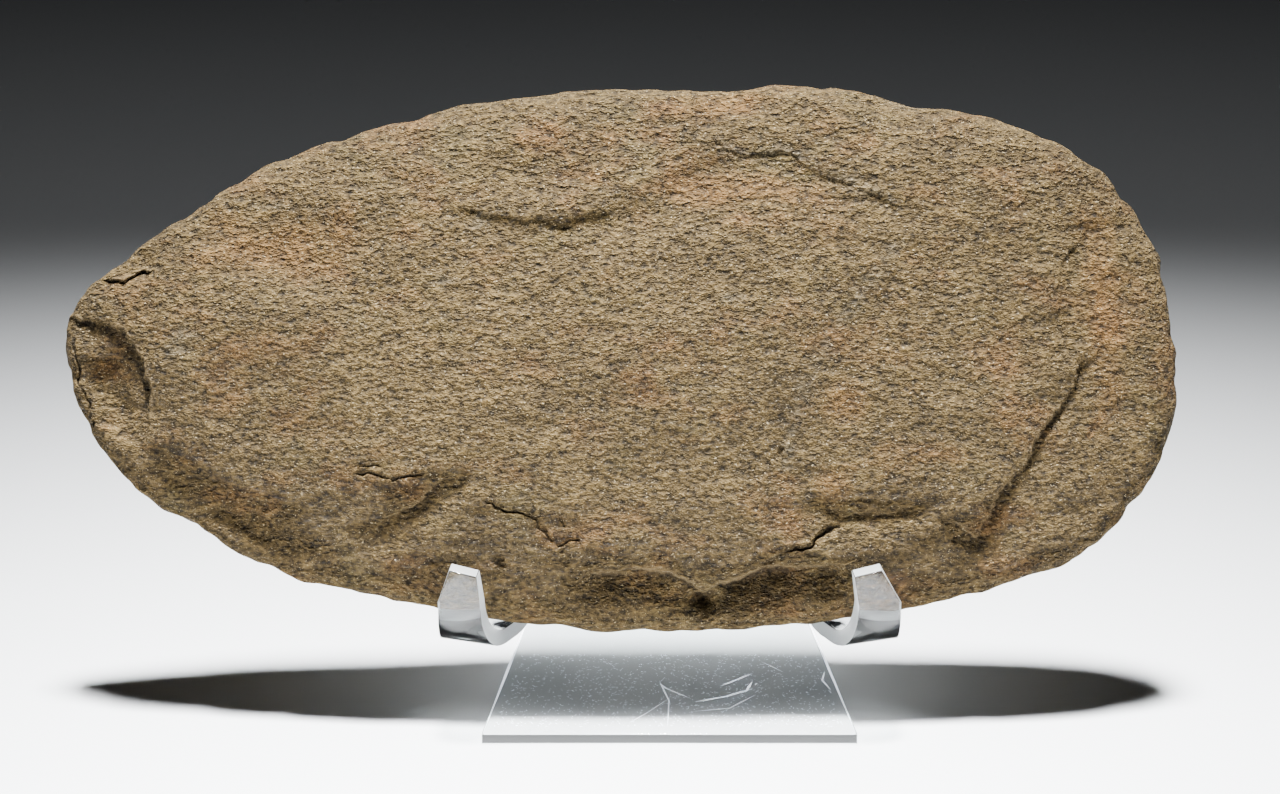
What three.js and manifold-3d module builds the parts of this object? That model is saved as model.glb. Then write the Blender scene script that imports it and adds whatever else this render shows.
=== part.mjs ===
// A stone celt on its clear display stand.
// The celt is one flaked slab of coarse brown stone, pointed at the left end and blunt at the right.
// The stand is one strip of clear acrylic sheet, forked at one end and bent warm: a flat foot, a back
// panel that leans forward, a fold over the top, and two arms that come down in front and turn up as hooks.
// Millimetres. +X runs along the celt to its blunt end, +Y away from the viewer, +Z up.
// The origin is on the floor, under the middle of the whole object.

import * as THREE from "three";
import { mergeVertices } from "three/addons/utils/BufferGeometryUtils.js";
import Module from "manifold-3d";

const wasm = await Module();
wasm.setup();

// Celt
const CELT_LENGTH = 330;
const CELT_WIDTH = 165;
const CELT_THICKNESS = 36;
const CELT_EDGE = 9; // thickness of the rim, where the two faces meet
const CELT_EDGE_ROUND = 6; // how far in from the rim its rounding reaches
const CELT_RINGS = 22; // rings of facets from the middle of a face out to the rim

// Stand
const SHEET = 3.2; // thickness of the foot, back panel and fold
const HOOK_THICKNESS = 4.8; // the arms thicken towards the hooks
const FOOT_FRONT_WIDTH = 110;
const FOOT_REAR_WIDTH = 84;
const FOLD_WIDTH = 72;
const STAND_DEPTH = 119; // over all, front edge of the foot to the back of the rear bend
const STAND_HEIGHT = 122; // over all
const STAND_OFFSET = 14.2; // the stand's middle is this far right of the celt's middle
const REAR_BEND = 9; // bend radii are to the middle of the sheet
const FOLD_BEND = 7;
const ARM_LEAN = 25; // degrees, back from upright
const ARM_SPLAY = 24; // degrees, how far the arms and the bends of the hooks turn outwards, seen from above
const SLOT_WIDTH = 12; // between the arms, just below the fold
const SLOT_ROUND = 12; // length over which the closed end of the slot opens to its width
const HOOK_SPREAD = 121.4; // between the middles of the two hooks' fronts
const HOOK_SETBACK = 8; // from the foot's front edge to the front of the hooks
const HOOK_WIDTH = 12.6; // at the bend, seen from the front
const HOOK_TIP_WIDTH = 8.1;
const HOOK_TIP_SWAY = 1.2; // both tips are bent a little to the left
const HOOK_HEIGHT = 51; // floor to the middle of the hooks' tips
const HOOK_TIP_RISE = 1.8; // the tips are cut aslant, higher at their outer side
const HOOK_TIP_TURN = 6; // degrees, the tips face forward more than the bends do
const HOOK_FLOOR = 23.3; // floor to the underside of the hooks
const HOOK_BEND = 16; // from the hook's bottom up to its tip
const HOOK_FLAT = 7.5; // level part of the hook's bottom, behind its bend
const ARM_BEND = 20; // from the hook's bottom up into the arm
const HOOK_TIP_LEAN = 2; // degrees, forward
const CONTACT_GAP = 0.4; // left between the celt and the stand
const HEEL_SETBACK = 13.5; // from the front of the hooks to the middle of the celt's lower edge

const degrees = THREE.MathUtils.degToRad;
const smooth = THREE.MathUtils.smoothstep;
const lerp = THREE.MathUtils.lerp;

const standFront = -STAND_DEPTH / 2;

// A place on the celt's face, from shares of its length (from the left) and of its width (from below)
function onFace(share, height) {
  return new THREE.Vector2((share - 0.5) * CELT_LENGTH, (height - 0.5) * CELT_WIDTH);
}

// Outline of the celt, clockwise from the left tip, as shares of its length and width
const OUTLINE = [
  [0.0, 0.528], [0.006, 0.585], [0.018, 0.62], [0.043, 0.67], [0.104, 0.755], [0.167, 0.832],
  [0.23, 0.89], [0.338, 0.949], [0.446, 0.984], [0.571, 0.986], [0.661, 1.0], [0.733, 0.981],
  [0.769, 0.952], [0.805, 0.948], [0.841, 0.931], [0.904, 0.883], [0.949, 0.805], [0.981, 0.7],
  [0.996, 0.575], [1.0, 0.47], [0.994, 0.355], [0.981, 0.295], [0.949, 0.2], [0.904, 0.128],
  [0.823, 0.074], [0.733, 0.033], [0.643, 0.008], [0.5, 0.0], [0.392, 0.02], [0.284, 0.062],
  [0.194, 0.107], [0.122, 0.18], [0.055, 0.272], [0.016, 0.378], [0.004, 0.45],
];

function celtOutline() {
  const points = OUTLINE.map(([share, height]) => {
    const p = onFace(share, height);
    return new THREE.Vector3(p.x, p.y, 0);
  });
  return new THREE.CatmullRomCurve3(points, true, "centripetal");
}

// Signed distance from a path, positive on its right-hand side as the path is walked,
// and the share of full strength, which fades out past the path's two ends
function fromPath(path, p, fade) {
  let nearest = Infinity;
  let side = 1;
  let past = 0;
  for (let i = 0; i + 1 < path.length; i++) {
    const along = path[i + 1].clone().sub(path[i]);
    const to = p.clone().sub(path[i]);
    const share = to.dot(along) / along.lengthSq();
    const held = THREE.MathUtils.clamp(share, 0, 1);
    const distance = to.distanceTo(along.clone().multiplyScalar(held));
    if (distance < nearest) {
      nearest = distance;
      side = Math.sign(to.x * along.y - to.y * along.x) || 1;
      const before = i === 0 ? Math.max(-share, 0) : 0;
      const after = i + 2 === path.length ? Math.max(share - 1, 0) : 0;
      past = (before + after) * along.length();
    }
  }
  return { distance: side * nearest, strength: Math.exp(-((past / fade) ** 2)) };
}

// The face drops by a depth across a path, on its right-hand side, and comes back up over a reach.
// The depth is a share of the celt's thickness, and the other sizes are shares of its width.
function ledge({ path, depth, reach, lip = 0.015, fade = 0.05 }) {
  const points = path.map(([share, height]) => onFace(share, height));
  const [far, edge, end] = [reach, lip, fade].map((share) => share * CELT_WIDTH);
  return (p) => {
    const { distance, strength } = fromPath(points, p, end);
    if (distance < -edge || distance > 4 * far) return 0;
    const below = smooth(distance, -edge / 2, edge / 2) * Math.exp(-Math.max(distance, 0) / far);
    return -depth * CELT_THICKNESS * strength * below;
  };
}

// A shallow bowl that a struck flake left. Its depth is a share of the celt's thickness, and its length
// along and across, before it is turned by some degrees, are shares of the celt's width.
function scar({ at, along, across, turn = 0, depth }) {
  const centre = onFace(...at);
  return (p) => {
    const q = p.clone().sub(centre).rotateAround(new THREE.Vector2(), degrees(-turn));
    const d = (q.x / (along * CELT_WIDTH)) ** 2 + (q.y / (across * CELT_WIDTH)) ** 2;
    return d < 1 ? -depth * CELT_THICKNESS * (1 - d) ** 1.5 : 0;
  };
}

// Flaking on the face that shows
const FRONT_RELIEF = [
  // slab that has split off along the lower edge
  ledge({
    path: [[0.48, 0.106], [0.53, 0.117], [0.568, 0.073], [0.61, 0.099], [0.63, 0.118], [0.684, 0.118]],
    depth: 0.13,
    reach: 0.06,
  }),
  // step down to the blunt end
  ledge({
    path: [[0.815, 0.165], [0.845, 0.267], [0.874, 0.362], [0.905, 0.45], [0.892, 0.568], [0.907, 0.7]],
    depth: 0.07,
    reach: 0.12,
  }),
  // long crease right of the middle
  ledge({
    path: [[0.645, 0.24], [0.643, 0.315], [0.661, 0.423], [0.688, 0.532], [0.715, 0.604], [0.75, 0.7]],
    depth: 0.05,
    reach: 0.18,
    lip: 0.055,
    fade: 0.12,
  }),
  // ledges under the upper edge
  ledge({
    path: [[0.369, 0.748], [0.4, 0.733], [0.446, 0.726], [0.518, 0.766], [0.571, 0.834]],
    depth: 0.06,
    reach: 0.075,
  }),
  ledge({
    path: [[0.588, 0.877], [0.607, 0.852], [0.652, 0.859], [0.688, 0.813], [0.745, 0.765]],
    depth: 0.055,
    reach: 0.065,
  }),
  // ledges over the lower edge
  ledge({ path: [[0.285, 0.195], [0.322, 0.234], [0.345, 0.285]], depth: 0.07, reach: 0.055 }),
  ledge({ path: [[0.685, 0.225], [0.72, 0.212], [0.765, 0.222]], depth: 0.05, reach: 0.042 }),
  // bowls at the pointed end and along the upper left edge
  scar({ at: [0.04, 0.43], along: 0.09, across: 0.127, turn: 15, depth: 0.15 }),
  scar({ at: [0.062, 0.665], along: 0.085, across: 0.042, turn: 40, depth: 0.12 }),
  scar({ at: [0.2, 0.68], along: 0.16, across: 0.11, turn: -20, depth: 0.09 }),
  scar({ at: [0.17, 0.4], along: 0.18, across: 0.12, turn: 60, depth: 0.042 }),
  scar({ at: [0.42, 0.82], along: 0.16, across: 0.067, turn: 5, depth: 0.05 }),
  // spalls on the upper edge
  scar({ at: [0.595, 0.97], along: 0.1, across: 0.048, depth: 0.07 }),
  scar({ at: [0.75, 0.96], along: 0.08, across: 0.036, turn: -12, depth: 0.07 }),
  // broad thinning along the lower left
  scar({ at: [0.16, 0.16], along: 0.29, across: 0.1, turn: -33, depth: 0.1 }),
];

// Flaking on the back, which the photograph doesn't show: broad plain bowls from the rim
const BACK_RELIEF = [
  scar({ at: [0.08, 0.5], along: 0.18, across: 0.24, depth: 0.085 }),
  scar({ at: [0.3, 0.9], along: 0.3, across: 0.145, turn: 18, depth: 0.1 }),
  scar({ at: [0.68, 0.96], along: 0.36, across: 0.13, depth: 0.09 }),
  scar({ at: [0.95, 0.5], along: 0.145, across: 0.27, depth: 0.085 }),
  scar({ at: [0.72, 0.06], along: 0.33, across: 0.13, turn: 4, depth: 0.085 }),
  scar({ at: [0.3, 0.12], along: 0.31, across: 0.13, turn: -20, depth: 0.09 }),
  ledge({ path: [[0.3, 0.62], [0.5, 0.56], [0.66, 0.62]], depth: 0.05, reach: 0.12 }),
];

// Slow swells of the split surface, as a share of the celt's thickness
function swell(p, phase) {
  const x = (p.x / CELT_LENGTH) * 2 * Math.PI;
  const y = (p.y / CELT_WIDTH) * 2 * Math.PI;
  const slow = Math.sin(2.3 * x + phase) * Math.cos(1.7 * y - phase);
  const quick = Math.sin(6.1 * x - 2.2 * y + 2 * phase) * Math.cos(3.9 * y + 1.3 * x);
  return 0.02 * slow + 0.01 * quick;
}

// Height of one face over the slab's middle plane, at a place that is a share of the way out to the rim
function faceHeight(p, share, radius, relief, phase) {
  const inset = (1 - share) * radius;
  const turned = Math.max(0, 1 - inset / CELT_EDGE_ROUND);
  const rim = (CELT_EDGE / 2) * Math.sqrt(1 - turned * turned);
  const crown = ((CELT_THICKNESS - CELT_EDGE) / 2) * (1 - share ** 2.4) ** 0.8;
  const carved = relief.reduce((sum, feature) => sum + feature(p), swell(p, phase) * CELT_THICKNESS);
  const kept = smooth(inset, 0, 2 * CELT_EDGE_ROUND);
  return Math.max(rim + crown + carved * kept, 0.35 * rim);
}

// Each face is a disc of rings, ring k holding 6k corners. The two faces share the corners of the rim.
function celtGeometry() {
  const outline = celtOutline();
  const corners = [];
  const triangles = [];
  const faces = [
    { side: 1, relief: FRONT_RELIEF, phase: 0.4 },
    { side: -1, relief: BACK_RELIEF, phase: 2.1 },
  ];
  for (const { side, relief, phase } of faces) {
    const first = corners.length;
    for (let k = 0; k <= CELT_RINGS; k++) {
      const share = 1 - (1 - k / CELT_RINGS) ** 1.4;
      for (let j = 0; j < Math.max(6 * k, 1); j++) {
        const rim = outline.getPointAt(k ? j / (6 * k) : 0);
        const p = new THREE.Vector2(rim.x, rim.y).multiplyScalar(share);
        const height = k === CELT_RINGS ? 0 : faceHeight(p, share, Math.hypot(rim.x, rim.y), relief, phase);
        corners.push(new THREE.Vector3(p.x, p.y + CELT_WIDTH / 2, side * height));
      }
    }
    const at = (k, j) => first + (k ? 3 * k * (k - 1) + 1 + (j % (6 * k)) : 0);
    for (let k = 1; k <= CELT_RINGS; k++) {
      for (let sector = 0; sector < 6; sector++) {
        for (let j = 0; j < k; j++) {
          const outer = sector * k + j;
          const inner = sector * (k - 1) + j;
          const found = [[at(k, outer + 1), at(k, outer), at(k - 1, inner)]];
          if (j < k - 1) found.push([at(k, outer + 1), at(k - 1, inner), at(k - 1, inner + 1)]);
          for (const [a, b, c] of found) triangles.push(...(side > 0 ? [a, b, c] : [a, c, b]));
        }
      }
    }
  }
  return solidOf(corners, triangles);
}

function solidOf(corners, triangles) {
  const geometry = new THREE.BufferGeometry().setFromPoints(corners);
  geometry.setIndex(triangles);
  const merged = mergeVertices(geometry, 1e-3);
  merged.computeVertexNormals();
  return merged;
}

// Unit vector at an angle from the backward direction, turning up
function heading(angle) {
  return new THREE.Vector2(Math.cos(degrees(angle)), Math.sin(degrees(angle)));
}

// Points along an arc in an upright plane, as distance back and height, from one heading to another
function arc(start, from, to, radius, steps) {
  const side = 90 * Math.sign(to - from);
  const centre = start.clone().add(heading(from + side).multiplyScalar(radius));
  return Array.from({ length: steps + 1 }, (_, i) => {
    const now = from + ((to - from) * i) / steps;
    return centre.clone().add(heading(now - side).multiplyScalar(radius));
  });
}

// Middle line of an arm and its hook in their own upright plane, from the hook's lowest point:
// back and up to the fold, and forward and up to the tip
const splay = degrees(ARM_SPLAY);
const armSlope = THREE.MathUtils.radToDeg(Math.atan(Math.cos(splay) / Math.tan(degrees(ARM_LEAN))));
const armBendSteps = 6;
const armStart = armBendSteps + 1; // the arm's first straight point, after the lowest point and the bend
const lowest = new THREE.Vector2(0, HOOK_FLOOR + HOOK_THICKNESS / 2);
const foldHeight = STAND_HEIGHT - SHEET / 2 - FOLD_BEND;
const foldStart = foldHeight + FOLD_BEND * Math.sin(degrees(ARM_LEAN));
const hookY = standFront + HOOK_SETBACK + (HOOK_BEND + HOOK_THICKNESS / 2) * Math.cos(splay);

function straightOn(from, angle, height) {
  const length = (height - from.y) / Math.sin(degrees(angle));
  return from.clone().add(heading(angle).multiplyScalar(length));
}

function armLine() {
  const flatEnd = lowest.clone().add(new THREE.Vector2(HOOK_FLAT, 0));
  const bend = [lowest, ...arc(flatEnd, 0, armSlope, ARM_BEND, armBendSteps)];
  const top = straightOn(bend.at(-1), armSlope, foldStart);
  const steps = 10;
  const rise = Array.from({ length: steps }, (_, i) => {
    const left = 1 - (i + 1) / steps;
    return top.clone().lerp(bend.at(-1), left ** 2);
  });
  return [...bend, ...rise];
}

function tipLine() {
  const upright = 90 + HOOK_TIP_LEAN;
  const bend = arc(lowest, 180, upright, HOOK_BEND, 9);
  const middle = HOOK_HEIGHT - (HOOK_THICKNESS / 2) * Math.sin(degrees(HOOK_TIP_LEAN));
  return [...bend, straightOn(bend.at(-1), upright, middle)];
}

// Middle line of the foot, rear bend, back panel and fold. The panel runs straight from bend to fold.
function bodyLine(foldEnd) {
  const rear = new THREE.Vector2(standFront + STAND_DEPTH - SHEET / 2 - REAR_BEND, SHEET / 2 + REAR_BEND);
  const down = 270 - ARM_LEAN;
  const fold = new THREE.Vector2(foldEnd, foldStart).add(heading(down + 90).multiplyScalar(FOLD_BEND));
  const between = fold.clone().sub(rear);
  const turn = Math.asin((FOLD_BEND - REAR_BEND) / between.length());
  const panel = THREE.MathUtils.radToDeg(between.angle() - turn);
  const rearBend = arc(new THREE.Vector2(rear.x, SHEET / 2), 0, panel, REAR_BEND, 9);
  const foldFoot = fold.clone().sub(heading(panel + 90).multiplyScalar(FOLD_BEND));
  const foldBend = arc(foldFoot, panel, down, FOLD_BEND, 12);
  return [new THREE.Vector2(standFront, SHEET / 2), ...rearBend, ...foldBend];
}

// The right-hand half of the sheet as a row of stations from the foot's front edge to the hook's tip,
// each with its inner and outer edge on the sheet's middle surface
function standStations() {
  const arm = armLine();
  const start = arm[armStart];
  const end = arm.at(-1);
  const foldEnd = hookY + end.x * Math.cos(splay);
  const stations = bodyLine(foldEnd).map((p) => {
    const back = Math.min((p.x - standFront) / (STAND_DEPTH - REAR_BEND), 1);
    const foot = lerp(FOOT_FRONT_WIDTH, FOOT_REAR_WIDTH, back);
    const panel = lerp(FOOT_REAR_WIDTH, FOLD_WIDTH, Math.min(p.y / foldHeight, 1));
    const inner = new THREE.Vector3(0, p.x, p.y);
    const outer = new THREE.Vector3((p.y > SHEET ? panel : foot) / 2, p.x, p.y);
    return { inner, outer, thickness: SHEET };
  });
  // A station of the arm or hook. The inner edge runs back and inwards from the hook's front, and the outer
  // edge straight back. Up is 0 on the hook and 1 at the fold, and turn is the sheet's own turn.
  const station = (p, up, turn, outerX, thickness) => {
    const back = Math.min(p.x, start.x) + HOOK_BEND;
    const bent = HOOK_SPREAD / 2 - HOOK_WIDTH / 2 - Math.max(back, 0) * Math.sin(splay);
    const left = 1 - Math.min((foldStart - p.y) / SLOT_ROUND, 1);
    const slot = (SLOT_WIDTH / 2) * Math.sqrt(1 - left * left);
    const innerX = lerp(bent, slot, up);
    const y = hookY + p.x * Math.cos(splay) - (HOOK_WIDTH / 2) * Math.sin(splay) * (1 - up);
    const inner = new THREE.Vector3(innerX, y, p.y);
    const outer = new THREE.Vector3(outerX, y + (outerX - innerX) * Math.tan(turn), p.y);
    return { inner, outer, thickness };
  };
  const hookOuter = (HOOK_SPREAD + HOOK_WIDTH) / 2;
  for (const p of arm.reverse().slice(1)) {
    const up = Math.max(0, (p.x - start.x) / (end.x - start.x));
    const armOuter = hookOuter - Math.min(p.x, start.x) * Math.sin(splay);
    const outerX = lerp(armOuter, FOLD_WIDTH / 2, up);
    stations.push(station(p, up, splay * (1 - up), outerX, lerp(HOOK_THICKNESS, SHEET, up)));
  }
  const tip = tipLine();
  const bendTop = tip.at(-2).y;
  for (const p of tip.slice(1)) {
    const rise = Math.max(0, (p.y - bendTop) / (HOOK_HEIGHT - bendTop));
    const turn = lerp(splay, degrees(HOOK_TIP_TURN), (p.y - lowest.y) / (HOOK_HEIGHT - lowest.y));
    const outerX = hookOuter - rise * (HOOK_WIDTH - HOOK_TIP_WIDTH);
    stations.push({ ...station(p, 0, turn, outerX, HOOK_THICKNESS), sway: rise * HOOK_TIP_SWAY });
  }
  stations.at(-1).inner.z -= HOOK_TIP_RISE / 2;
  stations.at(-1).outer.z += HOOK_TIP_RISE / 2;
  return stations;
}

// One closed body from the stations and their mirror image. The two halves share the middle line of the
// foot, panel and fold, and part below the fold.
function standGeometry() {
  const stations = standStations();
  const normals = stations.map(({ inner, outer, thickness }, i) => {
    const before = stations[Math.max(i - 1, 0)];
    const after = stations[Math.min(i + 1, stations.length - 1)];
    const travel = after.outer.clone().sub(before.outer);
    return travel.cross(outer.clone().sub(inner)).normalize().multiplyScalar(thickness / 2);
  });
  const corners = [];
  const triangles = [];
  const quad = (side, a, b, c, d) => triangles.push(...(side > 0 ? [a, c, b, a, d, c] : [a, b, c, a, c, d]));
  for (const side of [1, -1]) {
    const first = corners.length;
    stations.forEach(({ inner, outer, sway = 0 }, i) => {
      for (const p of [inner, outer]) {
        for (const face of [1, -1]) {
          const q = p.clone().addScaledVector(normals[i], face);
          corners.push(new THREE.Vector3(STAND_OFFSET - sway + side * q.x, q.y, q.z));
        }
      }
    });
    const at = (i, corner) => first + 4 * i + corner;
    const [innerUp, innerDown, outerUp, outerDown] = [0, 1, 2, 3];
    for (let i = 0; i + 1 < stations.length; i++) {
      const faces = [
        [innerUp, outerUp],
        [outerUp, outerDown],
        [outerDown, innerDown],
      ];
      if (stations[i + 1].inner.x > 0) faces.push([innerDown, innerUp]);
      for (const [a, b] of faces) quad(side, at(i, a), at(i, b), at(i + 1, b), at(i + 1, a));
    }
    const last = stations.length - 1;
    quad(side, at(0, innerDown), at(0, outerDown), at(0, outerUp), at(0, innerUp));
    quad(side, at(last, innerUp), at(last, outerUp), at(last, outerDown), at(last, innerDown));
  }
  return solidOf(corners, triangles);
}

function manifoldOf(geometry) {
  const vertProperties = geometry.attributes.position.array;
  return new wasm.Manifold(
    new wasm.Mesh({ numProp: 3, vertProperties, triVerts: new Uint32Array(geometry.index.array) }),
  );
}

// Stands the celt on its lower edge in the hooks, and leans it back until its back meets the arms
function restOnStand(celtGeometry, standGeometry) {
  const celt = manifoldOf(celtGeometry);
  const heelY = standFront + HOOK_SETBACK + HEEL_SETBACK;
  const bendStart = hookY + HOOK_FLAT * Math.cos(splay);
  const [arms, hooks] = manifoldOf(standGeometry).splitByPlane([0, 1, 0], bendStart);
  const clear = (lean, height, part) =>
    celt.rotate([90 - lean, 0, 0]).translate([0, heelY, height]).minGap(part, 2 * CONTACT_GAP) > CONTACT_GAP;
  // The lowest value from a range at which a test holds
  const lowestClear = (low, high, test) => {
    for (let i = 0; i < 14; i++) {
      const middle = (low + high) / 2;
      if (test(middle)) high = middle;
      else low = middle;
    }
    return high;
  };
  const heightAt = (lean) =>
    lowestClear(HOOK_FLOOR, HOOK_FLOOR + CELT_THICKNESS, (height) => clear(lean, height, hooks));
  const upright = lowestClear(45, 90, (angle) => clear(90 - angle, heightAt(90 - angle), arms));
  const lean = 90 - upright;
  return { lean, position: new THREE.Vector3(0, heelY, heightAt(lean)) };
}

const stone = new THREE.MeshStandardMaterial({ color: 0x8f7c5c, roughness: 0.9, metalness: 0 });
const acrylic = new THREE.MeshStandardMaterial({
  color: 0xedf3f4,
  roughness: 0.08,
  metalness: 0,
  transparent: true,
  opacity: 0.35,
});

const stand = new THREE.Mesh(standGeometry(), acrylic);
stand.name = "display_stand";

const celt = new THREE.Mesh(celtGeometry(), stone);
celt.name = "stone_celt";
const rest = restOnStand(celt.geometry, stand.geometry);
celt.rotation.x = degrees(90 - rest.lean);
celt.position.copy(rest.position);

const object = new THREE.Group();
object.add(stand, celt);

export default object;
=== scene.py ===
import math

import bmesh
import bpy
import numpy as np
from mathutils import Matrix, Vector, noise


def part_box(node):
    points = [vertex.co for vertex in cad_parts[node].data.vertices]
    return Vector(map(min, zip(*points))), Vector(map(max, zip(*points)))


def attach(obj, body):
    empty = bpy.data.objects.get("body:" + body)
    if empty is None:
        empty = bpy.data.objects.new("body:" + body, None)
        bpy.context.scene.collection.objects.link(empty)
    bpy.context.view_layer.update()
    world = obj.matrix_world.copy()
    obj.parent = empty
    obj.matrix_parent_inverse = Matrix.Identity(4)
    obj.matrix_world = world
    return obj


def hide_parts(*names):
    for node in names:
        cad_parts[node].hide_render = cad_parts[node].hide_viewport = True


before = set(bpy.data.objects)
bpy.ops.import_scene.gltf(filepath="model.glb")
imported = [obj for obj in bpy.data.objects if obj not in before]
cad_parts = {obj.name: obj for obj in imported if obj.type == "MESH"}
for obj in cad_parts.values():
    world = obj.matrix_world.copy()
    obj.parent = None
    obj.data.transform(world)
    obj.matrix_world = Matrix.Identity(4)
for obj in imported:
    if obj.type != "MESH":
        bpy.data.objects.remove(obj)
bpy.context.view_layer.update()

# The display stand is one strip of clear acrylic sheet, sawn into a fork at one end and bent warm
# into a foot, a back panel, a fold and two hooked arms. Its faces are polished, and its sawn edges
# are frosty with fine saw marks. It stands loose on the floor.
MM = 0.001
WELD = 0.001 * MM  # corners that are closer than this are one
STAND_EDGE_ROUND = 0.3 * MM
STAND_SHARP = math.radians(50)  # edges sharper than this are rounded
STAND_CREASE = math.radians(38)  # edges sharper than this aren't shaded smooth
STAND_FLAT = math.radians(0.2)  # faces that differ by less than this are joined
SIDEWAYS, SQUARE_ON = 0.6, 0.95  # least share of a face's normal along one direction
HOOK_TIP_DEPTH, HOOK_TIP_HEIGHT = 25 * MM, 45 * MM  # from the foot's front, and above the floor
POLISHED, SAWN, CUT, GLOWING_MARKS = range(4)  # places in the stand's list of materials


def welded(node):
    """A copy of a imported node's mesh in which the corners that meet are one."""
    bm = bmesh.new()
    bm.from_mesh(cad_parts[node].data)
    bmesh.ops.remove_doubles(bm, verts=bm.verts[:], dist=WELD)
    return bm


def piece_from(bm, name):
    """The finished mesh as an object in the scene, smooth but for its sharp edges."""
    mesh = bpy.data.meshes.new(name)
    bm.to_mesh(mesh)
    bm.free()
    mesh.shade_smooth()
    piece = bpy.data.objects.new(name, mesh)
    bpy.context.scene.collection.objects.link(piece)
    return piece


stand_low, stand_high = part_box("display_stand")
stand_bm = welded("display_stand")
bmesh.ops.dissolve_limit(
    stand_bm, angle_limit=STAND_FLAT, verts=stand_bm.verts[:], edges=stand_bm.edges[:]
)
sharp_edges = [edge for edge in stand_bm.edges if edge.calc_face_angle(0) > STAND_SHARP]
bmesh.ops.bevel(
    stand_bm, geom=sharp_edges, offset=STAND_EDGE_ROUND, segments=2, profile=0.5, affect="EDGES"
)
stand_bm.normal_update()
for face in stand_bm.faces:
    middle = face.calc_center_median()
    sideways = abs(face.normal.x) > SIDEWAYS
    foot_front = face.normal.y < -SQUARE_ON and middle.y < stand_low.y + STAND_EDGE_ROUND
    in_front = middle.y < stand_low.y + HOOK_TIP_DEPTH
    hook_tip = face.normal.z > SQUARE_ON and in_front and middle.z > HOOK_TIP_HEIGHT
    face.material_index = SAWN if sideways or hook_tip else CUT if foot_front else POLISHED

# Scratches and dust on top of the foot are slivers laid on it. Sizes are in millimetres, and places are
# measured from the middle of the whole object.
# They glow, as painted light standing in for light scattered out of the sheet
SCRATCH_HEIGHT = 3.22  # just clear of the foot's 3.2 mm sheet
SCRATCHES = [
    {"path": [(12, -18.5), (13.5, -21.5), (19.2, -28.4)], "wide": 0.28},
    {"path": [(12, -18.5), (14.2, -32.1), (13.8, -48.8)], "wide": 0.252},
    {"path": [(3.5, -48.8), (8, -41.5), (13, -32.1)], "wide": 0.21},
    {"path": [(30.5, -18.5), (34, -14.6), (38.4, -9.6)], "wide": 0.63},
    {"path": [(23.6, -32.1), (31, -28.4), (37.4, -23.2), (38.9, -17.1)], "wide": 0.77},
    {"path": [(23.6, -40.4), (32, -38.3), (38.4, -29.2)], "wide": 0.392},
    {"path": [(43.5, 0.4), (47.4, -5.1)], "wide": 0.28},
    {"path": [(61.1, -8.1), (60.3, -14.2), (62.1, -21.1)], "wide": 0.42},
]
SCRATCH_OVERLAP = 0.3  # share of its length by which each stretch runs past its ends
DUST = 1700
DUST_WIDTH = 0.14
DUST_LENGTHS = (0.2, 1.3)
DUST_FROM, DUST_TO = -54, 8  # front to back
DUST_HALF_WIDTH, DUST_NARROWS = 46, 0.1  # the strewn band narrows towards the back, as the foot does
# The foot's two top side edges get a painted highlight, a glowing sliver along each. Each end is given
# from the middle of the foot.
LIT_EDGE_FRONT, LIT_EDGE_REAR, LIT_EDGE_WIDTH = (54.4, -59), (43, 45), 0.7


def stroke(bm, start, end, wide):
    """A flat sliver on the foot, pointed at both ends."""
    start, end = Vector(start), Vector(end)
    across = (end - start).orthogonal().normalized() * wide / 2
    middle = (start + end) / 2
    places = (start, middle - across, end, middle + across)
    face = bm.faces.new([bm.verts.new(Vector((*place, SCRATCH_HEIGHT)) * MM) for place in places])
    face.material_index = GLOWING_MARKS
    face.normal_update()
    if face.normal.z < 0:
        face.normal_flip()


for scratch in SCRATCHES:
    for start, end in zip(scratch["path"], scratch["path"][1:]):
        overlap = (Vector(end) - Vector(start)) * SCRATCH_OVERLAP
        stroke(stand_bm, Vector(start) - overlap, Vector(end) + overlap, scratch["wide"])
foot_middle = (stand_low.x + stand_high.x) / 2 / MM
lowest = (-1, DUST_FROM, 0, DUST_LENGTHS[0])
highest = (1, DUST_TO, math.pi, DUST_LENGTHS[1])
for x, y, turn, length in np.random.default_rng(5).uniform(lowest, highest, (DUST, 4)):
    start = Vector((foot_middle + x * (DUST_HALF_WIDTH - DUST_NARROWS * y), y))
    end = start + Vector((math.cos(turn), math.sin(turn))) * length
    stroke(stand_bm, start, end, DUST_WIDTH)
# Painted highlight: a glowing sliver along each top side edge of the foot
for side in (-1, 1):
    front, rear = ((foot_middle + side * x, y) for x, y in (LIT_EDGE_FRONT, LIT_EDGE_REAR))
    stroke(stand_bm, front, rear, LIT_EDGE_WIDTH)
stand = piece_from(stand_bm, "clear_stand")
stand.data.set_sharp_from_angle(angle=STAND_CREASE)


def new_material(name):
    """An empty node material, with its node tree and its principled shader."""
    material = bpy.data.materials.new(name)
    material.use_nodes = True
    return material, material.node_tree, material.node_tree.nodes["Principled BSDF"]


def wire(tree, *pairs):
    """Joins each output socket to the input socket after it."""
    for source, target in pairs:
        tree.links.new(source, target)


def lets_lamps_through(tree, shader, tint):
    """Puts a tinted clear shader in for the rays from lamps, so that they reach what is behind."""
    nodes = tree.nodes
    path = nodes.new("ShaderNodeLightPath")
    clear = nodes.new("ShaderNodeBsdfTransparent")
    clear.inputs["Color"].default_value = (*tint, 1)
    mix = nodes.new("ShaderNodeMixShader")
    wire(
        tree,
        (path.outputs["Is Shadow Ray"], mix.inputs["Fac"]),
        (shader.outputs["BSDF"], mix.inputs[1]),
        (clear.outputs["BSDF"], mix.inputs[2]),
        (mix.outputs["Shader"], nodes["Material Output"].inputs["Surface"]),
    )


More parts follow.
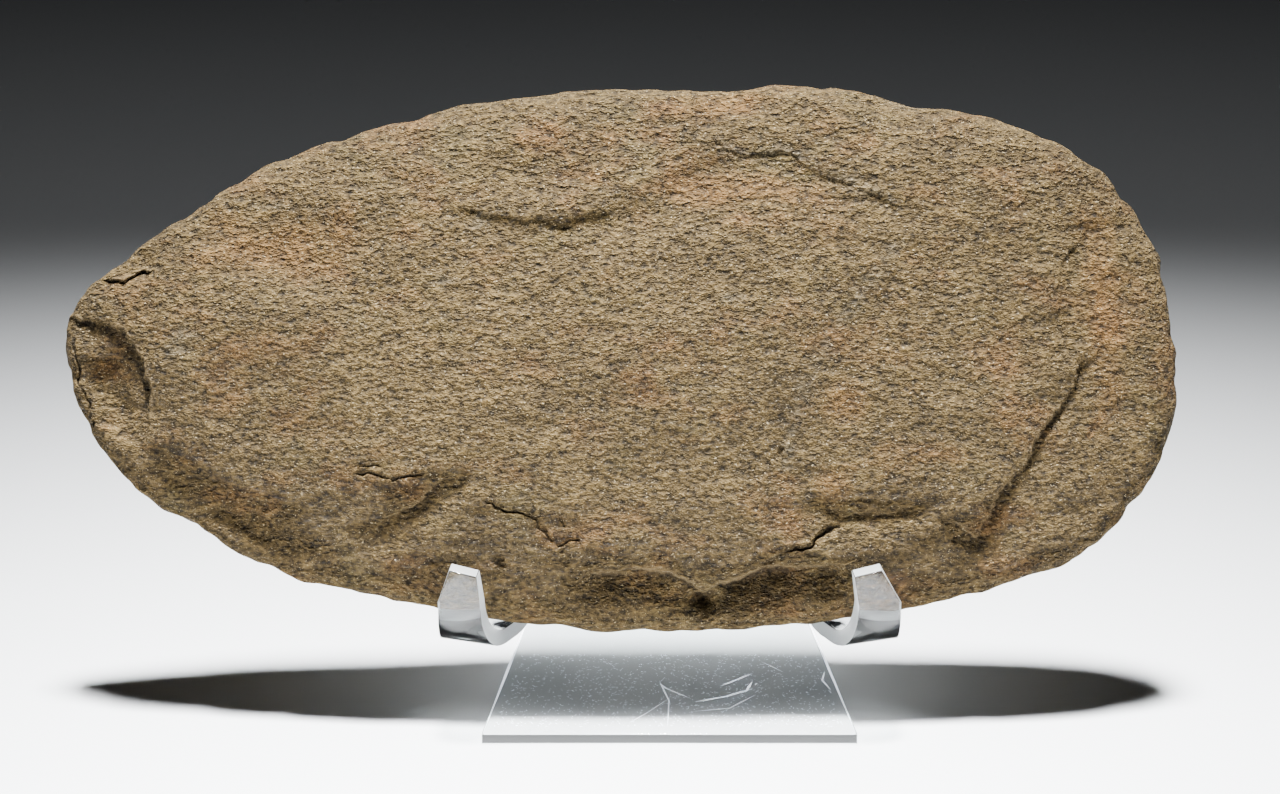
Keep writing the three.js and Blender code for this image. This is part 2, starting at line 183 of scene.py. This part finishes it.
def polished_acrylic():
    """The sheet's two faces: clear, with specks of haze where they are scuffed."""
    material, tree, shader = new_material("polished_acrylic")
    nodes = tree.nodes
    shader.inputs["Base Color"].default_value = (0.96, 0.98, 0.98, 1)
    shader.inputs["Specular IOR Level"].default_value = 0.2
    shader.inputs["Transmission Weight"].default_value = 1
    shader.inputs["IOR"].default_value = 1.49
    place = nodes.new("ShaderNodeTexCoord")
    haze = nodes.new("ShaderNodeTexNoise")
    haze.inputs["Scale"].default_value = 900
    haze.inputs["Detail"].default_value = 3
    speck = nodes.new("ShaderNodeMapRange")
    speck.inputs["From Min"].default_value = 0.56
    speck.inputs["From Max"].default_value = 0.72
    speck.inputs["To Min"].default_value = 0.03
    speck.inputs["To Max"].default_value = 0.2
    wire(
        tree,
        (place.outputs["Object"], haze.inputs["Vector"]),
        (haze.outputs["Fac"], speck.inputs["Value"]),
        (speck.outputs["Result"], shader.inputs["Roughness"]),
    )
    lets_lamps_through(tree, shader, (0.86, 0.88, 0.88))
    return material


def sawn_acrylic():
    """The sawn edges: frosty, with fine saw marks."""
    material, tree, shader = new_material("sawn_acrylic")
    nodes = tree.nodes
    shader.inputs["Base Color"].default_value = (0.7, 0.72, 0.72, 1)
    shader.inputs["Transmission Weight"].default_value = 0.75
    shader.inputs["IOR"].default_value = 1.49
    place = nodes.new("ShaderNodeTexCoord")
    marks = nodes.new("ShaderNodeTexNoise")
    marks.inputs["Scale"].default_value = 1400
    marks.inputs["Detail"].default_value = 2
    rough = nodes.new("ShaderNodeMapRange")
    rough.inputs["To Min"].default_value = 0.25
    rough.inputs["To Max"].default_value = 0.6
    bump = nodes.new("ShaderNodeBump")
    bump.inputs["Strength"].default_value = 0.4
    bump.inputs["Distance"].default_value = 0.1 * MM
    wire(
        tree,
        (place.outputs["Object"], marks.inputs["Vector"]),
        (marks.outputs["Fac"], rough.inputs["Value"]),
        (rough.outputs["Result"], shader.inputs["Roughness"]),
        (marks.outputs["Fac"], bump.inputs["Height"]),
        (bump.outputs["Normal"], shader.inputs["Normal"]),
    )
    lets_lamps_through(tree, shader, (0.6, 0.62, 0.62))
    return material


def cut_acrylic_painted_shade():
    """The foot's front edge: cut clean, and painted dark grey and opaque, as painted shade for the
    shadow that shows through it.
    """
    material, _, shader = new_material("cut_acrylic_painted_shade")
    shader.inputs["Base Color"].default_value = (0.06, 0.062, 0.062, 1)
    shader.inputs["Roughness"].default_value = 0.4
    shader.inputs["IOR"].default_value = 1.49
    return material


def glowing_acrylic_marks():
    """Scratches, dust and the foot's lit side edges, which glow by emission: painted light for the light
    that runs along inside the sheet.
    """
    material, _, shader = new_material("glowing_acrylic_marks")
    shader.inputs["Base Color"].default_value = (0.8, 0.85, 0.9, 1)
    shader.inputs["Roughness"].default_value = 0.6
    # The glow is painted light: these marks are no lamp
    shader.inputs["Emission Color"].default_value = (0.8, 0.88, 1.0, 1)
    shader.inputs["Emission Strength"].default_value = 1.6
    return material


# In the order of POLISHED, SAWN, CUT and GLOWING_MARKS
for finish in (polished_acrylic, sawn_acrylic, cut_acrylic_painted_shade, glowing_acrylic_marks):
    stand.data.materials.append(finish())
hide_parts("display_stand")
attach(stand, "root")

# The celt is one slab of coarse olive-brown rock, split and flaked to a pointed oval. It keeps the
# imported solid's form, with its grain, the sharp lips of its ledges, its cracks and pits added.
# It rests on its lower edge in the stand's hooks and leans back on the arms.
SUBDIVISIONS = 2
SMOOTHINGS = 6
NEAR_FLAKING = (8 * MM, 2.5 * MM)  # the mesh is made finer within each distance of a ledge or crack
GRAIN_STRETCH = (1.8, 1, 1)
# Waves in the split surface, in millimetres: each one's length, its height on the face, how much the
# rim adds to that, and the seed of its noise
GRAIN_WAVES = [(24, 0.7, 0, 8), (9, 0.5, 0.9, 1), (3.6, 0.3, 0.5, 2)]
GRAIN_SINKS, RIM_SINKS = 0.3 * MM, 0.3 * MM  # lowers the surface, so that its peaks stay in the solid
# Wavelength and reach of the slow and the quick wandering of ledges and cracks
WANDER, FLUTTER = (7 * MM, 1.0 * MM), (2.2 * MM, 0.8 * MM)
LEDGE_FADE, CRACK_FADE = 4 * MM, 1.5 * MM  # how fast they run out past their ends
DARK_LEDGE = 1.8  # a ledge of this depth gets the painted shade in full
CAVITY_SHARE = 0.3  # share of its reach over which the cavity under a ledge is darkened, as painted shade
LIP_HIGHLIGHT_WIDTH = 0.7 * MM  # of the painted highlight, a pale line along the lip above a ledge

# A place on the face is a share of the celt's length, from the left, and of its width, from below.
# A ledge drops on the right-hand side of its path. Depths and widths are in millimetres.
LEDGES = [
    # slab that split off along the lower edge
    {"path": [(0.478, 0.108), (0.52, 0.115), (0.547, 0.104), (0.572, 0.071)],
     "depth": 2.6, "reach": 4, "lip": 0.4},
    {"path": [(0.57, 0.073), (0.585, 0.085), (0.61, 0.099), (0.628, 0.117), (0.672, 0.116),
              (0.684, 0.118)],
     "depth": 5.0, "reach": 6.5, "lip": 0.4},
    # step down to the blunt end
    {"path": [(0.799, 0.191), (0.817, 0.171), (0.83, 0.222), (0.846, 0.267), (0.864, 0.312),
              (0.874, 0.362), (0.904, 0.434), (0.906, 0.468)],
     "depth": 1.7, "reach": 4, "lip": 0.5},
    {"path": [(0.906, 0.468), (0.894, 0.52), (0.892, 0.568), (0.891, 0.622), (0.893, 0.65),
              (0.907, 0.695)],
     "depth": 0.8, "reach": 5, "lip": 0.6},
    # ledges under the upper edge
    {"path": [(0.369, 0.748), (0.4, 0.733), (0.446, 0.726), (0.482, 0.744)],
     "depth": 0.5, "reach": 7, "lip": 1.4},
    {"path": [(0.588, 0.877), (0.607, 0.852), (0.652, 0.859), (0.662, 0.832), (0.688, 0.813),
              (0.738, 0.771)],
     "depth": 0.45, "reach": 6, "lip": 1.0},
    # ledge over the left of the lower edge
    {"path": [(0.29, 0.202), (0.307, 0.218), (0.322, 0.234), (0.332, 0.256), (0.35, 0.272)],
     "depth": 1.9, "reach": 4.5, "lip": 0.6},
    # small ledges over the right of the lower edge
    {"path": [(0.688, 0.222), (0.694, 0.204), (0.714, 0.214), (0.738, 0.214), (0.76, 0.22)],
     "depth": 1.2, "reach": 3.5, "lip": 0.5},
    {"path": [(0.69, 0.229), (0.711, 0.238), (0.731, 0.231)], "depth": 0.8, "reach": 2.5, "lip": 0.5},
    # edge of the bowl at the pointed end
    {"path": [(0.007, 0.564), (0.028, 0.559), (0.055, 0.537), (0.074, 0.486), (0.079, 0.423),
              (0.077, 0.351)],
     "depth": 1.6, "reach": 6, "lip": 1.0},
    # slot under the upper left edge
    {"path": [(0.041, 0.634), (0.055, 0.631), (0.073, 0.649)], "depth": 1.9, "reach": 3, "lip": 0.6},
    # step in the upper edge
    {"path": [(0.566, 0.91), (0.564, 0.985)], "depth": 0.8, "reach": 8, "lip": 0.8},
]
CRACKS = [
    {"path": [(0.01, 0.523), (0.014, 0.45), (0.025, 0.405)], "depth": 0.98, "wide": 0.35},
    {"path": [(0.028, 0.378), (0.027, 0.366)], "depth": 1.68, "wide": 0.7},
    {"path": [(0.267, 0.281), (0.28, 0.277), (0.294, 0.27)], "depth": 0.84, "wide": 0.35},
    {"path": [(0.299, 0.268), (0.322, 0.279)], "depth": 0.7, "wide": 0.35},
    {"path": [(0.268, 0.297), (0.288, 0.29)], "depth": 0.56, "wide": 0.3},
    {"path": [(0.382, 0.227), (0.395, 0.217), (0.411, 0.207), (0.425, 0.193), (0.432, 0.175),
              (0.438, 0.159)],
     "depth": 0.98, "wide": 0.4},
    {"path": [(0.446, 0.196), (0.45, 0.184)], "depth": 0.7, "wide": 0.35},
    {"path": [(0.444, 0.153), (0.451, 0.157), (0.461, 0.161)], "depth": 0.98, "wide": 0.4},
    {"path": [(0.628, 0.121), (0.642, 0.139), (0.668, 0.153), (0.679, 0.175), (0.692, 0.187)],
     "depth": 1.54, "wide": 0.5},
    {"path": [(0.931, 0.396), (0.917, 0.348)], "depth": 0.56, "wide": 0.4},
    {"path": [(0.643, 0.324), (0.645, 0.279)], "depth": 0.7, "wide": 0.4},
]
PITS = [
    {"at": (0.392, 0.119), "wide": 1.2, "depth": 1.2},
    {"at": (0.447, 0.141), "wide": 0.8, "depth": 0.8},
    {"at": (0.451, 0.119), "wide": 0.8, "depth": 0.8},
    {"at": (0.739, 0.389), "wide": 1.0, "depth": 1.3},
    {"at": (0.797, 0.164), "wide": 0.9, "depth": 1.0},
]
# Broad stains in the stone, round a place or along a path
STAINS = {
    "rust_stain": [
        {"at": (0.697, 0.414), "along": 7, "across": 6},
        {"at": (0.686, 0.261), "along": 6, "across": 5},
        {"at": (0.594, 0.945), "along": 14, "across": 5},
        {"at": (0.2, 0.69), "along": 22, "across": 10},
        {"at": (0.93, 0.56), "along": 6, "across": 30},
        {"at": (0.6, 0.79), "along": 26, "across": 5},
        {"path": [(0.931, 0.396), (0.917, 0.348)], "wide": 1.2},
    ],
    "grey_stain": [
        {"at": (0.374, 0.73), "along": 4, "across": 2.5},
        {"at": (0.342, 0.625), "along": 5, "across": 2.5},
        {"at": (0.6, 0.595), "along": 4, "across": 1.5},
        {"at": (0.758, 0.955), "along": 7, "across": 2.5},
        {"at": (0.19, 0.765), "along": 8, "across": 1.5},
        {"path": [(0.588, 0.877), (0.607, 0.855), (0.652, 0.862), (0.69, 0.815), (0.738, 0.772)],
         "wide": 2},
        {"path": [(0.747, 0.694), (0.715, 0.604), (0.688, 0.532), (0.661, 0.423), (0.645, 0.29)],
         "wide": 1.8},
        {"path": [(0.1, 0.5), (0.113, 0.53)], "wide": 3},
    ],
}


def face_frame(corners):
    """Directions across the width and out of the front face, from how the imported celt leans."""
    spread = np.cov(corners[:, 1], corners[:, 2])
    _, directions = np.linalg.eigh(spread)
    back, up = directions[:, 1] * np.sign(directions[1, 1])
    return np.array([0, back, up]), np.array([0, -up, back])


celt_corners = np.array([v.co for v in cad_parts["stone_celt"].data.vertices])
celt_up, celt_out = face_frame(celt_corners)
celt_low = np.array([celt_corners[:, 0].min(), (celt_corners @ celt_up).min()])
celt_size = np.array([np.ptp(celt_corners[:, 0]), np.ptp(celt_corners @ celt_up)])
celt_ends = celt_corners[[celt_corners[:, 0].argmin(), celt_corners[:, 0].argmax()]]
celt_middle = (celt_ends @ celt_out).mean()


def face_places(corners):
    """Where corners lie on the face, in metres from its lower left, and how far in front of its rim."""
    flat = np.stack([corners[:, 0], corners @ celt_up], axis=1) - celt_low
    return flat, corners @ celt_out - celt_middle


def from_path(path, places):
    """Signed distance from a path, positive on its right-hand side, and how far past its ends."""
    points = np.array(path) * celt_size
    nearest = np.full(len(places), np.inf)
    side = np.ones(len(places))
    past = np.zeros(len(places))
    for i, (start, end) in enumerate(zip(points, points[1:])):
        along = end - start
        to = places - start
        share = to @ along / (along @ along)
        away = np.linalg.norm(to - np.clip(share, 0, 1)[:, None] * along, axis=1)
        over = np.zeros(len(places))
        if i == 0:
            over = np.maximum(over, -share)
        if i + 2 == len(points):
            over = np.maximum(over, share - 1)
        closer = away < nearest
        nearest[closer] = away[closer]
        side[closer] = np.where(to[:, 0] * along[1] > to[:, 1] * along[0], 1, -1)[closer]
        past[closer] = (over * np.linalg.norm(along))[closer]
    return side * nearest, past


def ramp(value, low, high):
    share = np.clip((value - low) / (high - low), 0, 1)
    return share * share * (3 - 2 * share)


def noise_at(corners, wavelength, seed, stretch=(1, 1, 1)):
    """Smooth noise of about -1 to 1 at each corner."""
    scale = Vector(1 / (wavelength * s) for s in stretch)
    shift = Vector((seed * 3.7, seed * 1.3, seed * 2.9))
    return np.array([noise.noise(Vector(c) * scale + shift) for c in corners])


celt_bm = welded("stone_celt")
for _ in range(SUBDIVISIONS):
    bmesh.ops.subdivide_edges(celt_bm, edges=celt_bm.edges[:], cuts=1, use_grid_fill=True)
for _ in range(SMOOTHINGS):
    bmesh.ops.smooth_vert(
        celt_bm, verts=celt_bm.verts[:], factor=0.5, use_axis_x=True, use_axis_y=True, use_axis_z=True
    )
for distance in NEAR_FLAKING:
    middles = np.array([face.calc_center_median() for face in celt_bm.faces])
    flat, height = face_places(middles)
    near = np.full(len(flat), np.inf)
    for feature in LEDGES + CRACKS:
        near = np.minimum(near, np.abs(from_path(feature["path"], flat)[0]))
    fine = (near < distance) & (height > 0)
    celt_bm.faces.index_update()
    fine_edges = [edge for edge in celt_bm.edges if any(fine[face.index] for face in edge.link_faces)]
    bmesh.ops.subdivide_edges(celt_bm, edges=fine_edges, cuts=1, use_grid_fill=True)
    bmesh.ops.triangulate(celt_bm, faces=[face for face in celt_bm.faces if len(face.verts) > 3])
celt_bm.normal_update()
corners = np.array([v.co for v in celt_bm.verts])
outward = np.array([v.normal for v in celt_bm.verts])

# The split surface is uneven at every size, and most of all along the rim, which is chipped. Grain runs
# along the celt. Ledges and cracks wander, and are deeper in some places than in others.
flat, height = face_places(corners)
torn = flat.copy()
for (length, strength), seeds in ((WANDER, (3, 4)), (FLUTTER, (5, 6))):
    torn += strength * np.stack([noise_at(corners, length, seed) for seed in seeds], axis=1)
front = ramp(height, -1 * MM, 2 * MM)
rim = 1 - ramp(np.abs(height), 3.5 * MM, 8 * MM)
uneven = np.clip(0.9 + 0.8 * noise_at(corners, 9 * MM, 9), 0.4, 1.5)

drop = np.zeros(len(corners))
crevice_shade = np.zeros(len(corners))
lip_highlight = np.zeros(len(corners))
for ledge in LEDGES:
    away, past = from_path(ledge["path"], torn)
    lip, reach = ledge["lip"] * MM, ledge["reach"] * MM
    held = np.exp(-((past / LEDGE_FADE) ** 2)) * uneven
    under = np.maximum(away, 0)
    drop += ledge["depth"] * MM * held * ramp(away, -lip / 2, lip / 2) * np.exp(-under / reach)
    # Painted shade: the cavity under each ledge is darkened in the colour
    shade = np.clip(held, 0, 1) * min(1, ledge["depth"] / DARK_LEDGE)
    dark = shade * ramp(away, -0.1 * lip, 0.6 * lip) * np.exp(-under / (CAVITY_SHARE * reach))
    crevice_shade = np.maximum(crevice_shade, dark)
    # Painted highlight: a pale line along each ledge's lip
    lip_highlight = np.maximum(lip_highlight, shade * np.exp(-(((away + 0.8 * lip) / LIP_HIGHLIGHT_WIDTH) ** 2)))
for crack in CRACKS:
    away, past = from_path(crack["path"], torn)
    held = np.exp(-((past / CRACK_FADE) ** 2)) * np.clip(uneven, 0, 1)
    groove = held * np.exp(-((away / (crack["wide"] * MM)) ** 2))
    drop += crack["depth"] * MM * groove
    # Cracks are darkened in the colour too, as painted shade
    crevice_shade = np.maximum(crevice_shade, groove)
for pit in PITS:
    away = np.linalg.norm(torn - np.array(pit["at"]) * celt_size, axis=1)
    bowl = np.exp(-((away / (pit["wide"] * MM)) ** 2))
    drop += pit["depth"] * MM * bowl
    # and pits too, as painted shade
    crevice_shade = np.maximum(crevice_shade, bowl)

grain = -GRAIN_SINKS - RIM_SINKS * rim
for length, on_face, at_rim, seed in GRAIN_WAVES:
    grain += (on_face + at_rim * rim) * MM * noise_at(corners, length * MM, seed, GRAIN_STRETCH)
moved = corners + outward * grain[:, None] - celt_out * (drop * front)[:, None]
low, high = (np.array(corner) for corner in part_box("stone_celt"))
moved = np.clip(moved, low, high)
for vert, co in zip(celt_bm.verts, moved):
    vert.co = co
celt = piece_from(celt_bm, "celt")


def paint(name, values):
    celt.data.attributes.new(name, "FLOAT", "POINT").data.foreach_set("value", values.astype(np.float32))


# Painted shade in cavities, cracks and pits, for the stone's colour
paint("crevice_shade", crevice_shade * front)
# Painted highlight along ledge lips, for the stone's colour
paint("lip_highlight", lip_highlight * front)
blotch = noise_at(corners, 11 * MM, 7)
for name, patches in STAINS.items():
    amount = np.zeros(len(corners))
    for patch in patches:
        if "path" in patch:
            sideways, past = from_path(patch["path"], torn)
            away = np.hypot(sideways, past) / (patch["wide"] * MM)
        else:
            reach = np.array([patch["along"], patch["across"]]) * MM
            away = np.linalg.norm((flat - np.array(patch["at"]) * celt_size) / reach, axis=1)
        amount = np.maximum(amount, 1 - ramp(away + 0.6 * blotch, 0.2, 1.4))
    paint(name, amount * front)


OLIVE_DARK, OLIVE_LIGHT = (0.0335, 0.0219, 0.0074), (0.0475, 0.0313, 0.011)
ORANGE_BROWN = (0.056, 0.026, 0.0075)
GREY_OLIVE = (0.031, 0.0245, 0.0085)
RUST = (0.078, 0.037, 0.0095)
PALE_GREY = (0.07, 0.058, 0.036)
# painted glints
GLINT = (0.22, 0.17, 0.09)
PIT_BROWN = (0.014, 0.0085, 0.003)
# painted highlight along ledge lips
LIP_HIGHLIGHT_TAN = (0.11, 0.076, 0.034)
# painted shade in cavities, cracks and pits
CREVICE_SHADE_BROWN = (0.01, 0.007, 0.004)


def celt_stone():
    """Split stone: broad tones, stains, then fine grains in tone with painted shade and light, painted
    glints, pits, a painted highlight on ledge lips, painted shade in cavities, and bumps.
    """
    material, tree, shader = new_material("celt_stone")
    nodes = tree.nodes
    place = nodes.new("ShaderNodeTexCoord")

    def stretched(scale):
        mapping = nodes.new("ShaderNodeMapping")
        mapping.inputs["Scale"].default_value = scale
        wire(tree, (place.outputs["Object"], mapping.inputs["Vector"]))
        return mapping.outputs["Vector"]

    def noise_of(vector, scale, detail, rough=0.6):
        texture = nodes.new("ShaderNodeTexNoise")
        texture.inputs["Scale"].default_value = scale
        texture.inputs["Detail"].default_value = detail
        texture.inputs["Roughness"].default_value = rough
        wire(tree, (vector, texture.inputs["Vector"]))
        return texture.outputs["Fac"]

    def mixed(fac, first, second, blend="MIX"):
        mix = nodes.new("ShaderNodeMix")
        mix.data_type = "RGBA"
        mix.blend_type = blend
        for socket, value in (("Factor", fac), ("A", first), ("B", second)):
            inputs = [i for i in mix.inputs if i.name == socket and i.enabled]
            if isinstance(value, tuple):
                inputs[0].default_value = (*value, 1)
            elif isinstance(value, (int, float)):
                inputs[0].default_value = value
            else:
                wire(tree, (value, inputs[0]))
        return [o for o in mix.outputs if o.enabled][0]

    def spread(value, low, high, to_low=0, to_high=1):
        node = nodes.new("ShaderNodeMapRange")
        for socket, number in (
            ("From Min", low), ("From Max", high), ("To Min", to_low), ("To Max", to_high)
        ):
            node.inputs[socket].default_value = number
        wire(tree, (value, node.inputs["Value"]))
        return node.outputs["Result"]

    def toned(colour, tone):
        """A colour made lighter or darker by a number."""
        shade = nodes.new("ShaderNodeCombineColor")
        for channel in ("Red", "Green", "Blue"):
            wire(tree, (tone, shade.inputs[channel]))
        return mixed(1.0, colour, shade.outputs["Color"], "MULTIPLY")

    def attribute(name):
        node = nodes.new("ShaderNodeAttribute")
        node.attribute_name = name
        return node.outputs["Fac"]

    along = stretched((0.65, 1, 1))
    plain = stretched((1, 1, 1))
    # Broad shades and stains
    broad = noise_of(plain, 28, 4)
    colour = mixed(spread(broad, 0.35, 0.65), OLIVE_DARK, OLIVE_LIGHT)
    warm = noise_of(along, 70, 4)
    colour = mixed(spread(warm, 0.52, 0.7, 0, 0.55), colour, ORANGE_BROWN)
    cool = noise_of(plain, 55, 3)
    colour = mixed(spread(cool, 0.56, 0.72, 0, 0.5), colour, GREY_OLIVE)
    colour = mixed(spread(attribute("rust_stain"), 0, 1, 0, 0.45), colour, RUST)
    broken = nodes.new("ShaderNodeMath")
    broken.operation = "MULTIPLY"
    wire(
        tree,
        (attribute("grey_stain"), broken.inputs[0]),
        (spread(noise_of(along, 420, 4, 0.7), 0.42, 0.62, 0.1, 1), broken.inputs[1]),
    )
    colour = mixed(spread(broken.outputs["Value"], 0, 1, 0, 0.5), colour, PALE_GREY)
    # Grains in lighter and darker tones, painted shade and light on the grain, painted glints and small
    # dark pits
    cells = nodes.new("ShaderNodeTexVoronoi")
    cells.inputs["Scale"].default_value = 1500
    wire(tree, (along, cells.inputs["Vector"]))
    grey = nodes.new("ShaderNodeRGBToBW")
    wire(tree, (cells.outputs["Color"], grey.inputs["Color"]))
    colour = toned(colour, spread(grey.outputs["Val"], 0.2, 0.8, 0.8, 1.25))
    # Painted shade and light: the grain is darkened in its hollows and lightened on its peaks, following
    # nearly the same noise as the bumps
    for scale, detail, darkest, lightest in ((800, 2, 0.3, 1.9), (300, 3, 0.7, 1.3)):
        colour = toned(colour, spread(noise_of(along, scale, detail), 0.32, 0.68, darkest, lightest))
    # Painted glints: bright specks in the colour, where the surface is also less rough
    glint = noise_of(along, 2200, 1)
    colour = mixed(spread(glint, 0.66, 0.72, 0, 0.8), colour, GLINT)
    dark = noise_of(along, 1900, 2)
    colour = mixed(spread(dark, 0.62, 0.7, 0, 0.45), colour, PIT_BROWN)
    # Painted highlight along ledge lips, and painted shade in the cavities under ledges, in cracks and
    # in pits
    colour = mixed(spread(attribute("lip_highlight"), 0.2, 1, 0, 0.6), colour, LIP_HIGHLIGHT_TAN)
    colour = mixed(spread(attribute("crevice_shade"), 0.15, 1, 0, 0.85), colour, CREVICE_SHADE_BROWN)
    wire(tree, (colour, shader.inputs["Base Color"]))
    wire(tree, (spread(glint, 0.6, 0.75, 0.88, 0.5), shader.inputs["Roughness"]))
    shader.inputs["Specular IOR Level"].default_value = 0.16

    # Bumps: scale and detail of the noise, and depth in millimetres
    bump = None
    for scale, detail, depth in ((300, 3, 2.8), (800, 2, 1.7)):
        texture = noise_of(along, scale, detail, 0.65)
        step = nodes.new("ShaderNodeBump")
        step.inputs["Distance"].default_value = depth * MM
        wire(tree, (texture, step.inputs["Height"]))
        if bump:
            wire(tree, (bump, step.inputs["Normal"]))
        bump = step.outputs["Normal"]
    wire(tree, (bump, shader.inputs["Normal"]))
    return material


celt.data.materials.append(celt_stone())
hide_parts("stone_celt")
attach(celt, "root")

# The floor is plain, pale and faintly bluish, and wide enough to fill the view behind the celt.
FLOOR_SIZE = 12.0
floor_mesh = bpy.data.meshes.new("floor")
half = FLOOR_SIZE / 2
floor_mesh.from_pydata(
    [(-half, -half, 0), (half, -half, 0), (half, half, 0), (-half, half, 0)], [], [(0, 1, 2, 3)]
)
floor = bpy.data.objects.new("floor", floor_mesh)
bpy.context.scene.collection.objects.link(floor)
floor_paper, _, floor_shader = new_material("floor_paper")
floor_shader.inputs["Base Color"].default_value = (0.525, 0.54, 0.555, 1)
floor_shader.inputs["Roughness"].default_value = 0.7
floor.data.materials.append(floor_paper)

# A soft lamp with a grid hangs high over the celt, so that its pool of light is narrow: the floor is
# white in front and fades to dark grey behind. A low wide lamp far behind shows in the acrylic.
LAMP_AT = (0, 0.15, 3.0)
LAMP_SIDE = 0.5
LAMP_POOLS = [(0.5, 24), (1.5, 1.8)]  # radius of each pool of light on the floor in metres, and watts
BACK_LAMP_AT = (0, 4.0, 1.45)
BACK_LAMP_SIZE = (3.6, 0.7)


def lamp(name, at, towards, size, watts, spread=math.pi):
    data = bpy.data.lights.new(name, "AREA")
    data.shape = "RECTANGLE"
    data.size, data.size_y = size
    data.energy = watts
    data.spread = spread
    light = bpy.data.objects.new(name, data)
    light.location = at
    light.rotation_euler = (Vector(towards) - Vector(at)).to_track_quat("-Z", "Y").to_euler()
    bpy.context.scene.collection.objects.link(light)
    return light


for pool, watts in LAMP_POOLS:
    spread_angle = 2 * math.atan(pool / LAMP_AT[2])
    lamp("top_lamp", LAMP_AT, (0, -0.2, 0), (LAMP_SIDE, LAMP_SIDE), watts, spread_angle)
back_lamp = lamp("back_lamp", BACK_LAMP_AT, (0, 0, 0), BACK_LAMP_SIZE, 0.55)
back_lamp.data.color = (0.66, 0.8, 1.0)  # bluish, as its shine on the foot is
world = bpy.data.worlds.new("studio")
world.use_nodes = True
world.node_tree.nodes["Background"].inputs["Color"].default_value = (0.5, 0.5, 0.52, 1)
world.node_tree.nodes["Background"].inputs["Strength"].default_value = 0.002
bpy.context.scene.world = world

# The camera looks from straight in front, a little above, with a long lens.
CAMERA_ELEVATION = math.radians(17)
CAMERA_DISTANCE = 1.5
CAMERA_TARGET = Vector((5.6, -12, 91.4)) * MM
FOCAL_PIXELS = 5075
IMAGE_WIDTH = 1280
camera_data = bpy.data.cameras.new("camera")
camera_data.sensor_width = 36
camera_data.lens = FOCAL_PIXELS / IMAGE_WIDTH * camera_data.sensor_width
camera = bpy.data.objects.new("camera", camera_data)
towards_viewer = Vector((0, -math.cos(CAMERA_ELEVATION), math.sin(CAMERA_ELEVATION)))
camera.location = CAMERA_TARGET + CAMERA_DISTANCE * towards_viewer
camera.rotation_euler = (-towards_viewer).to_track_quat("-Z", "Y").to_euler()
bpy.context.scene.collection.objects.link(camera)
bpy.context.scene.camera = camera
